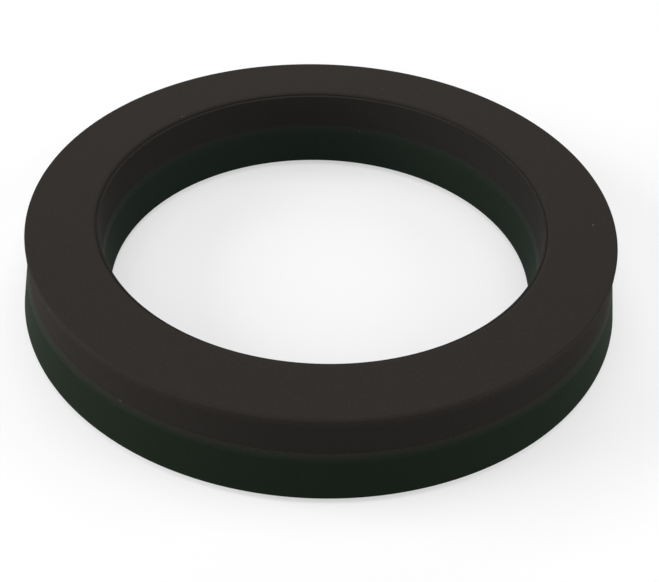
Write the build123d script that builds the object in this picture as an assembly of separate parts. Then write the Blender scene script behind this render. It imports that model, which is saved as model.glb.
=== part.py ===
from build123d import *

import os
from math import asin, atan2, hypot, radians, tan

# A U-cup rod seal, moulded in one piece of rubber. Its section is drawn as radius and
# height in the XZ plane and revolved about Z. The ring lies as it is stored, with its
# flat heel face up and its two lip tips on Z = 0, so the U opens downwards.
# All sizes are in millimetres.

# The ring and its heel, the solid part above the groove.
rod_diameter = 76.2             # the rod it seals, 3 in
section_width = 12.7            # rod to housing, 1/2 in, so the housing bore is 4 in
heel_clearance = 0.35           # heel's bore, out from the rod
seal_height = 15.875            # heel face to lip tips, 5/8 in
heel_wall_height = 7.0          # straight walls, from the heel face down to the lips
heel_thickness = 7.0            # heel face down to the floor of the groove
heel_edge_rounding = 0.75       # outer edge of the heel face

# The moulding step round the mouth of the bore: a fine ledge and a leaning wall.
mouth_ledge_width = 0.6
mouth_step_depth = 0.47         # heel face down to the ledge
mouth_step_lean = 0.4           # out from the ledge to the edge of the heel face

# The lips. Each leaves the heel wall at a sharp crease, turns at a shoulder and flares
# to its sealing edge, where a bevel cuts back to the tip. The outer shoulder is soft.
outer_lip_reach = 1.7           # sealing edge, out from the heel's outer wall
inner_lip_reach = 0.85          # sealing edge, in from the heel's bore
outer_shoulder_reach = 0.5      # turn of the shoulder, out from the heel's outer wall
inner_shoulder_reach = 0.35     # turn of the shoulder, in from the heel's bore
shoulder_drop = 1.3             # below the crease
outer_shoulder_rounding = 9.0
bevel_width = 1.6               # across the end of the lip, from the sealing edge in
bevel_drop = 0.97               # sealing edge above the tips
lip_thickness = 3.1             # across the end of the lip, sealing edge to groove

# The groove between the lips, which the pressure opens.
groove_floor_radius = 1.9
widest_floor_share = 0.8        # the round floor, at most, of the half mouth or the depth

# The straight middle that two roundings leave on the wall between them.
straight_share = 0.1


def wall_length(start, end):
    """The length of a straight wall of the section."""
    return hypot(end[0] - start[0], end[1] - start[1])


def tangent_length(before, corner, after, rounding):
    """How far a rounding reaches along each of the two walls at its corner."""
    arriving = Vector(*corner) - Vector(*before)
    leaving = Vector(*after) - Vector(*corner)
    turn = radians(arriving.get_angle(leaving))
    return rounding * tan(turn / 2)


def fitted_roundings(corners):
    """Each corner's rounding, drawn in where two would meet on the wall between them."""
    points = [point for point, _ in corners]
    roundings = [rounding for _, rounding in corners]
    following = points[1:] + points[:1]
    tangents = [
        tangent_length(points[index - 1], point, following[index], roundings[index])
        for index, point in enumerate(points)
    ]
    shares = [1.0] * len(corners)
    for index, point in enumerate(points):
        taken = tangents[index - 1] + tangents[index]
        room = (1 - straight_share) * wall_length(points[index - 1], point)
        share = min(1.0, room / taken) if taken > 0 else 1.0
        shares[index - 1] = min(shares[index - 1], share)
        shares[index] = min(shares[index], share)
    return [rounding * share for rounding, share in zip(roundings, shares)]


def lip_outline(wall_radius, outward, reach, shoulder_reach, shoulder_rounding):
    """Corners of one lip's sealing side, from the crease down to the groove's mouth.

    Each corner is a point (radius, height) and its rounding. outward is 1 for the
    outer lip and -1 for the inner one, whose sealing side faces the rod.
    """
    crease_height = seal_height - heel_wall_height
    sealing_radius = wall_radius + outward * reach
    return [
        ((wall_radius, crease_height), 0),
        ((wall_radius + outward * shoulder_reach, crease_height - shoulder_drop), shoulder_rounding),
        ((sealing_radius, bevel_drop), 0),
        ((sealing_radius - outward * bevel_width, 0), 0),
        ((sealing_radius - outward * lip_thickness, 0), 0),
    ]


def groove_floor(inner_mouth, outer_mouth):
    """The groove's apex and its rounding, for walls that run straight to a round floor."""
    centre = (inner_mouth + outer_mouth) / 2
    half_mouth = (outer_mouth - inner_mouth) / 2
    depth = seal_height - heel_thickness
    floor_radius = min(groove_floor_radius, widest_floor_share * min(half_mouth, depth))
    round_height = depth - floor_radius
    to_round_centre = hypot(half_mouth, round_height)
    wall_slant = atan2(half_mouth, round_height) - asin(floor_radius / to_round_centre)
    return ((centre, half_mouth / tan(wall_slant)), floor_radius)


def bore_mouth(bore_radius):
    """Corners of the step round the mouth of the bore, from the bore to the heel face."""
    ledge_height = seal_height - mouth_step_depth
    ledge_radius = bore_radius + mouth_ledge_width
    return [
        ((bore_radius, ledge_height), 0),
        ((ledge_radius, ledge_height), 0),
        ((ledge_radius + mouth_step_lean, seal_height), 0),
    ]


def section_outline():
    """Corners of the whole section, once round from the mouth of the bore."""
    rod_radius = rod_diameter / 2
    bore_radius = rod_radius + heel_clearance
    outer_radius = rod_radius + section_width
    heel_edge = ((outer_radius, seal_height), heel_edge_rounding)
    outer_lip = lip_outline(
        outer_radius, 1, outer_lip_reach, outer_shoulder_reach, outer_shoulder_rounding
    )
    inner_lip = lip_outline(bore_radius, -1, inner_lip_reach, inner_shoulder_reach, 0)
    inner_mouth = inner_lip[-1][0][0]
    outer_mouth = outer_lip[-1][0][0]
    groove = groove_floor(inner_mouth, outer_mouth)
    return bore_mouth(bore_radius) + [heel_edge] + outer_lip + [groove] + inner_lip[::-1]


def moulded_ring():
    """The seal: the section, with its roundings, revolved once about the axis."""
    corners = section_outline()
    points = [point for point, _ in corners]
    with BuildPart() as ring:
        with BuildSketch(Plane.XZ):
            with BuildLine():
                FilletPolyline(*points, radius=fitted_roundings(corners), close=True)
            make_face()
        revolve(axis=Axis.Z)
    return ring.part


os.makedirs("parts", exist_ok=True)
export_step(moulded_ring(), "parts/seal_ring.step")
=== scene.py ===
import math

import bpy
import numpy as np
from mathutils import Matrix, Vector


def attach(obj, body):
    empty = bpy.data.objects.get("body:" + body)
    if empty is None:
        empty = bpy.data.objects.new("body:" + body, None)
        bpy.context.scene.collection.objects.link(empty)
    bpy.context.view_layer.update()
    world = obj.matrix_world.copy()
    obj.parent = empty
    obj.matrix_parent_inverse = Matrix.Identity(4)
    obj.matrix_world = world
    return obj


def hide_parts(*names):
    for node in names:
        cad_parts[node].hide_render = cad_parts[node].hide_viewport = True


# The looks of a moulded rubber U-cup seal, lying heel face up on a white table.
# Section sizes are in millimetres, as in the part's source. Everything else is in metres.

MM = 0.001

# ---------------------------------------------------------------- the section

BORE = 38.45
OUTER = 50.8
HEEL_FACE = 15.875
LEDGE = HEEL_FACE - 0.47
CREASE = 8.875
SHOULDER = 7.575
OUTER_LIP = 52.5
INNER_LIP = 37.6
SEALING_EDGE = 0.97  # height of the lips' widest line
BEVEL = 1.6  # across the end of a lip, from its widest line to the tip
LIP_END = 3.1  # from its widest line to the groove
TIP_ROUNDING = 0.25

SEGMENTS = 400  # round the axis
TURN_PER_STEP = math.radians(7)  # along an arc of the section
LONGEST_STEP = 1.2  # along a straight of the section
ARC_SHARE = 0.46  # of a straight, at most, that the arc at one end takes up

# Corners of the section, once round: radius, height and rounding.
CORNERS = [
    (BORE + 0.02, LEDGE - 0.06, 0.08),
    (BORE + 0.3, LEDGE + 0.03, 0.06),
    (BORE + 0.58, LEDGE - 0.09, 0.04),
    (BORE + 0.62, HEEL_FACE - 0.22, 0.2),
    (BORE + 0.9, HEEL_FACE - 0.035, 0.4),
    (BORE + 1.25, HEEL_FACE, 1.5),
    (OUTER, HEEL_FACE, 0.45),
    (OUTER, CREASE, 0.04),
    (OUTER + 0.45, SHOULDER + 0.4, 4.0),
    (OUTER_LIP, SEALING_EDGE, 0.1),
    (OUTER_LIP - BEVEL, 0.0, TIP_ROUNDING),
    (OUTER_LIP - LIP_END, 0.0, TIP_ROUNDING),
    (45.05, 12.935, 1.9),  # where the groove's walls would meet
    (INNER_LIP + LIP_END, 0.0, TIP_ROUNDING),
    (INNER_LIP + BEVEL, 0.0, TIP_ROUNDING),
    (INNER_LIP, SEALING_EDGE, 0.1),
    (BORE - 0.35, SHOULDER, 9.0),
    (BORE, CREASE, 0.04),
]


def rounded(corners):
    """Points of a closed outline whose corners are replaced by arcs."""
    points = []
    for index, (radius, height, rounding) in enumerate(corners):
        corner = Vector((radius, height))
        before = Vector(corners[index - 1][:2]) - corner
        after = Vector(corners[(index + 1) % len(corners)][:2]) - corner
        opening = before.angle(after)
        turn = math.pi - opening
        room = ARC_SHARE * min(before.length, after.length)
        reach = min(rounding * math.tan(turn / 2), room)
        arc_radius = reach / math.tan(turn / 2)
        centre = corner + (before.normalized() + after.normalized()).normalized() * (
            arc_radius / math.sin(opening / 2)
        )
        first = corner + before.normalized() * reach - centre
        last = corner + after.normalized() * reach - centre
        steps = max(2, math.ceil(turn / TURN_PER_STEP))
        sweep = math.atan2(first.x * last.y - first.y * last.x, first.dot(last))
        for step in range(steps + 1):
            angle = sweep * step / steps
            points.append(centre + Matrix.Rotation(angle, 2) @ first)
    return points


def divided(points):
    """The outline with its long straights cut into shorter ones."""
    result = []
    for index, point in enumerate(points):
        following = points[(index + 1) % len(points)]
        parts = max(1, math.ceil((following - point).length / LONGEST_STEP))
        result += [point.lerp(following, part / parts) for part in range(parts)]
    return result


def ring_mesh(name, outline):
    """A closed surface of revolution about Z, smooth shaded."""
    angles = np.arange(SEGMENTS) * 2 * math.pi / SEGMENTS
    section = np.array([tuple(point) for point in outline]) * MM
    rows = len(section)
    vertices = np.empty((SEGMENTS, rows, 3))
    vertices[:, :, 0] = np.outer(np.cos(angles), section[:, 0])
    vertices[:, :, 1] = np.outer(np.sin(angles), section[:, 0])
    vertices[:, :, 2] = section[:, 1]
    across = np.arange(SEGMENTS)[:, None]
    along = np.arange(rows)[None, :]
    here = across * rows + along
    up = across * rows + (along + 1) % rows
    beside = (across + 1) % SEGMENTS * rows + along
    diagonal = (across + 1) % SEGMENTS * rows + (along + 1) % rows
    faces = np.stack([here, beside, diagonal, up], axis=-1).reshape(-1, 4)
    mesh = bpy.data.meshes.new(name)
    mesh.from_pydata(vertices.reshape(-1, 3).tolist(), [], faces.tolist())
    mesh.polygons.foreach_set("use_smooth", [True] * len(mesh.polygons))
    mesh.update()
    return mesh


# ---------------------------------------------------------------- shader sums


class Value:
    """A shader socket that takes part in sums."""

    def __init__(self, graph, socket):
        self.graph = graph
        self.socket = socket

    def __add__(self, other):
        return self.graph.math("ADD", self, other)

    def __radd__(self, other):
        return self.graph.math("ADD", other, self)

    def __sub__(self, other):
        return self.graph.math("SUBTRACT", self, other)

    def __rsub__(self, other):
        return self.graph.math("SUBTRACT", other, self)

    def __mul__(self, other):
        return self.graph.math("MULTIPLY", self, other)

    def __rmul__(self, other):
        return self.graph.math("MULTIPLY", other, self)

    def __truediv__(self, other):
        return self.graph.math("DIVIDE", self, other)

    def __rtruediv__(self, other):
        return self.graph.math("DIVIDE", other, self)


class Graph:
    """A node tree that is written as sums."""

    def __init__(self, tree):
        self.tree = tree
        tree.nodes.clear()

    def node(self, kind, settings=None, inputs=None, output=0):
        made = self.tree.nodes.new(kind)
        for name, value in (settings or {}).items():
            setattr(made, name, value)
        for name, value in (inputs or {}).items():
            self.feed(made.inputs[name], value)
        return Value(self, made.outputs[output])

    def feed(self, socket, value):
        if isinstance(value, Value):
            self.tree.links.new(value.socket, socket)
        else:
            socket.default_value = value

    def math(self, operation, first, second):
        return self.node("ShaderNodeMath", {"operation": operation}, {0: first, 1: second})

    def vector_math(self, operation, first, second, output=0):
        return self.node(
            "ShaderNodeVectorMath", {"operation": operation}, {0: first, 1: second}, output
        )

    def length(self, vector):
        return self.node(
            "ShaderNodeVectorMath", {"operation": "LENGTH"}, {0: vector}, output="Value"
        )

    def ramp(self, value, start, end, low=0.0, high=1.0):
        """A smooth step from low at start to high at end."""
        return self.node(
            "ShaderNodeMapRange",
            {"interpolation_type": "SMOOTHSTEP", "clamp": True},
            {"Value": value, "From Min": start, "From Max": end, "To Min": low, "To Max": high},
        )

    def mix(self, factor, first, second):
        """A blend of two colours."""
        return self.node(
            "ShaderNodeMix",
            {"data_type": "RGBA", "clamp_factor": True},
            {"Factor": factor, 6: first, 7: second},
            2,
        )

    def tint(self, colour, factor):
        """A colour made lighter or darker by a factor."""
        return self.node(
            "ShaderNodeVectorMath", {"operation": "SCALE"}, {0: colour, "Scale": factor}
        )

    def noise(self, place, scale, detail):
        return self.node(
            "ShaderNodeTexNoise",
            {"noise_dimensions": "3D"},
            {"Vector": place, "Scale": scale, "Detail": detail},
        )

    def mix_shader(self, factor, first, second):
        return self.node("ShaderNodeMixShader", {}, {0: factor, 1: first, 2: second})

    def seen(self):
        """One where the camera sees a surface, also by a reflection or through glass."""
        camera = self.node("ShaderNodeLightPath", output="Is Camera Ray")
        glossy = self.node("ShaderNodeLightPath", output="Is Glossy Ray")
        return camera + glossy + self.node("ShaderNodeLightPath", output="Is Transmission Ray")


# ---------------------------------------------------------------- the rubber

HEEL_COLOUR = (0.0257, 0.0227, 0.0200, 1)
# The outer wall: the heel's rubber, painted paler than on the heel face as painted light from
# the side lamps.
WALL_COLOUR_WITH_PAINTED_LIGHT = (0.0300, 0.0268, 0.0242, 1)
BORE_COLOUR = (0.0227, 0.0216, 0.0201, 1)
LIP_COLOUR = (0.0122, 0.0186, 0.0121, 1)
INNER_LIP_COLOUR = (0.0146, 0.0212, 0.0156, 1)
SPECK_COLOUR = (0.30, 0.29, 0.27, 1)
LIP_COLOUR_FROM = 7.35  # heights between which the lip colour gives way to the heel's
HEEL_COLOUR_FROM = 9.6

HEEL_ROUGHNESS = 0.8
WALL_ROUGHNESS = 0.93
LIP_ROUGHNESS = 0.75
SHOULDER_POLISH = 0.2  # taken off the roughness there
SPECULAR_LEVEL = 0.036  # low, for a matt rubber with hardly a sheen

EDGE_PAINTED_HIGHLIGHT = 0.18  # painted highlight: the heel wall is paler just under its edge, where its rounding catches the light
CLOUD_SCALE = 55.0
CLOUD_SHADE = 0.10
CLOUD_ROUGHNESS = 0.08
GRAIN_SCALE = 2600.0
GRAIN_SHADE = 0.36
BUMP_SCALE = 1500.0
BUMP_STRENGTH = 0.25
BUMP_DEPTH = 0.00003

# Pale specks and nicks: azimuth from the front in degrees, radius and height in mm,
# half width in mm, height over width, and strength.
SPECKS = [
    (87.8, 46.85, 15.875, 0.17, 1.0, 0.7),
    (164.9, 42.95, 15.875, 0.17, 1.0, 0.3),
    (-136.1, 39.60, 15.86, 0.20, 1.0, 0.4),
    (-56.0, 50.75, 15.35, 0.20, 2.2, 0.25),
    (-35.75, 50.85, 8.9, 0.60, 0.35, 0.15),
    (169.75, 38.27, 8.2, 0.17, 1.0, 0.2),
    (-91.5, 38.45, 13.8, 0.16, 1.0, 0.2),
]


def ring_place(azimuth, radius, height):
    """A point from its azimuth from the front, radius and height, in metres."""
    angle = math.radians(azimuth)
    return Vector((math.sin(angle) * radius, -math.cos(angle) * radius, height)) * MM


def rubber():
    """Matt rubber, brown-black on the heel and green-black on the lips."""
    material = bpy.data.materials.new("moulded_rubber")
    material.use_nodes = True
    graph = Graph(material.node_tree)
    place = graph.node("ShaderNodeTexCoord", output="Object")
    height = graph.node("ShaderNodeSeparateXYZ", inputs={0: place}, output="Z") / MM
    radius = graph.length(graph.vector_math("MULTIPLY", place, (1, 1, 0))) / MM

    in_bore = graph.ramp(radius, BORE + 0.2, BORE + 0.03)
    on_wall = graph.ramp(radius, OUTER - 0.2, OUTER - 0.02)
    heel = graph.mix(in_bore, HEEL_COLOUR, BORE_COLOUR)
    # Painted light: the outer wall gets a paler copy of the heel's colour.
    heel = graph.mix(on_wall, heel, WALL_COLOUR_WITH_PAINTED_LIGHT)
    lip = graph.mix(in_bore, LIP_COLOUR, INNER_LIP_COLOUR)
    colour = graph.mix(graph.ramp(height, LIP_COLOUR_FROM, HEEL_COLOUR_FROM), lip, heel)

    cloud = graph.noise(place, CLOUD_SCALE, 2.0)
    grain = graph.noise(place, GRAIN_SCALE, 1.0)
    shade = 1.0 + (cloud - 0.5) * CLOUD_SHADE + (grain - 0.5) * GRAIN_SHADE
    # Painted highlight: the outer wall is made paler in a band just under the heel's edge.
    under_edge = graph.ramp(height, HEEL_FACE - 2.0, HEEL_FACE - 0.5)
    shade = shade + under_edge * on_wall * EDGE_PAINTED_HIGHLIGHT
    colour = graph.tint(colour, shade)

    for azimuth, speck_radius, speck_height, half_width, stretch, strength in SPECKS:
        centre = ring_place(azimuth, speck_radius, speck_height)
        offset = graph.vector_math("SUBTRACT", place, tuple(centre))
        offset = graph.vector_math("MULTIPLY", offset, (1, 1, 1 / stretch))
        distance = graph.length(offset) / MM
        cover = graph.ramp(distance, half_width, half_width * 0.2) * strength
        colour = graph.mix(cover, colour, SPECK_COLOUR)

    pores = graph.noise(place, BUMP_SCALE, 3.0)
    bump = graph.node(
        "ShaderNodeBump",
        {},
        {"Strength": BUMP_STRENGTH, "Distance": BUMP_DEPTH, "Height": pores},
    )
    above_crease = graph.ramp(height, CREASE - 0.3, CREASE + 0.3)
    roughness = LIP_ROUGHNESS + above_crease * (HEEL_ROUGHNESS - LIP_ROUGHNESS)
    roughness = roughness + above_crease * on_wall * (WALL_ROUGHNESS - HEEL_ROUGHNESS)
    on_shoulder = graph.ramp(height, SHOULDER - 0.3, SHOULDER + 0.3) * (1.0 - above_crease)
    roughness = roughness + (cloud - 0.5) * CLOUD_ROUGHNESS - on_shoulder * SHOULDER_POLISH
    surface = graph.node(
        "ShaderNodeBsdfPrincipled",
        {},
        {
            "Base Color": colour,
            "Roughness": roughness,
            "Specular IOR Level": SPECULAR_LEVEL,
            "Normal": bump,
        },
    )
    output = graph.tree.nodes.new("ShaderNodeOutputMaterial")
    graph.feed(output.inputs["Surface"], surface)
    return material


# ---------------------------------------------------------------- the studio

WHITE = (1, 1, 1, 1)
FLOOR_SIZE = 4.0
FLOOR_GAP = 0.00005  # below the lip tips
FLOOR_WHITENESS = 0.5  # share of plain white in the floor round the ring
WHITER_FROM = 0.3  # metres from the ring where that share starts to grow
WHITE_FROM = 0.9  # and where the floor is all plain white
FLOOR_BOUNCE_COLOUR = (0.22, 0.22, 0.22, 1)  # what the floor throws back on the ring

# Square soft lights round the ring: name, place, size and power in watts.
SOFTBOXES = [
    ("overhead", (0, 0.05, 0.75), 0.7, 2.70),
    ("left", (-0.7, -0.05, 0.30), 0.5, 4.80),
    ("right", (0.7, -0.05, 0.30), 0.5, 2.35),
    ("front", (0, -0.75, 0.45), 0.5, 2.50),
    ("back", (0, 0.8, 0.35), 0.6, 2.20),
]
LIGHTS_AIM = Vector((0, 0, 0.01))


def table():
    """A white table top, seen through from underneath."""
    half = FLOOR_SIZE / 2
    mesh = bpy.data.meshes.new("table_top")
    corners = [(-half, -half, 0), (half, -half, 0), (half, half, 0), (-half, half, 0)]
    mesh.from_pydata(corners, [], [(0, 1, 2, 3)])
    floor = bpy.data.objects.new("table_top", mesh)
    floor.location.z = -FLOOR_GAP
    bpy.context.scene.collection.objects.link(floor)
    material = bpy.data.materials.new("white_table")
    material.use_nodes = True
    graph = Graph(material.node_tree)
    matt = graph.node("ShaderNodeBsdfDiffuse", {}, {"Color": WHITE})
    white = graph.node("ShaderNodeEmission", {}, {"Color": WHITE, "Strength": 1.0})
    bounce = graph.node("ShaderNodeBsdfDiffuse", {}, {"Color": FLOOR_BOUNCE_COLOUR})
    away = graph.length(graph.node("ShaderNodeTexCoord", output="Object"))
    whiteness = graph.ramp(away, WHITER_FROM, WHITE_FROM, FLOOR_WHITENESS, 1.0)
    top = graph.mix_shader(whiteness, matt, white)
    top = graph.mix_shader(graph.seen(), bounce, top)
    clear = graph.node("ShaderNodeBsdfTransparent")
    from_below = graph.node("ShaderNodeNewGeometry", output="Backfacing")
    output = graph.tree.nodes.new("ShaderNodeOutputMaterial")
    graph.feed(output.inputs["Surface"], graph.mix_shader(from_below, top, clear))
    mesh.materials.append(material)
    return floor


def softbox(name, place, size, power):
    """A square soft light that faces the ring."""
    data = bpy.data.lights.new(name, "AREA")
    data.shape = "SQUARE"
    data.size = size
    data.energy = power
    light = bpy.data.objects.new(name, data)
    light.location = place
    light.rotation_euler = (LIGHTS_AIM - Vector(place)).to_track_quat("-Z", "Y").to_euler()
    bpy.context.scene.collection.objects.link(light)


def surroundings():
    """A backdrop that is white where it is seen, and lights nothing."""
    world = bpy.data.worlds.new("white_studio")
    bpy.context.scene.world = world
    world.use_nodes = True
    graph = Graph(world.node_tree)
    dark = graph.node("ShaderNodeBackground", {}, {"Color": WHITE, "Strength": 0.0})
    white = graph.node("ShaderNodeBackground", {}, {"Color": WHITE, "Strength": 1.0})
    output = graph.tree.nodes.new("ShaderNodeOutputWorld")
    graph.feed(output.inputs["Surface"], graph.mix_shader(graph.seen(), dark, white))


def camera():
    """Looks down on the ring from the front, a little rolled, with the ring above centre."""
    distance = 0.21517
    elevation = math.radians(36.07)
    roll = math.radians(1.98)
    ring_left = math.radians(0.316)
    ring_up = math.radians(3.773)
    centre = Vector((0, 0, HEEL_FACE * MM))
    data = bpy.data.cameras.new("camera")
    data.sensor_width = 36
    data.lens = 67.5
    data.clip_start = 0.01
    data.clip_end = 20
    made = bpy.data.objects.new("camera", data)
    made.location = centre + distance * Vector((0, -math.cos(elevation), math.sin(elevation)))
    level = Matrix.Rotation(math.pi / 2 - elevation, 3, "X")
    rolled = level @ Matrix.Rotation(roll, 3, "Z")
    seen_at = Vector((-math.tan(ring_left), math.tan(ring_up), -1)).normalized()
    aimed = Vector((0, 0, -1)).rotation_difference(seen_at).to_matrix()
    made.rotation_euler = (rolled @ aimed.transposed()).to_euler()
    bpy.context.scene.collection.objects.link(made)
    bpy.context.scene.camera = made


# ---------------------------------------------------------------- the scene

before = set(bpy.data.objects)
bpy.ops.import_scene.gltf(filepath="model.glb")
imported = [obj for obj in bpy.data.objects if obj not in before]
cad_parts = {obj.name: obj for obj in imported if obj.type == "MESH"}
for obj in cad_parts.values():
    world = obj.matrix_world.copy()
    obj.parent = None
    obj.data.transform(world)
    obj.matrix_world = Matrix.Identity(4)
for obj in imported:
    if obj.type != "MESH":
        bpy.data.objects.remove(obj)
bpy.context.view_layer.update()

section = divided(rounded(CORNERS))
ring = bpy.data.objects.new("rubber_ring", ring_mesh("rubber_ring", section))
bpy.context.scene.collection.objects.link(ring)
ring.data.materials.append(rubber())
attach(ring, "root")
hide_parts("seal_ring")

table()
surroundings()
for name, place, size, power in SOFTBOXES:
    softbox(name, place, size, power)
camera()
bpy.context.scene.view_settings.view_transform = "Standard"
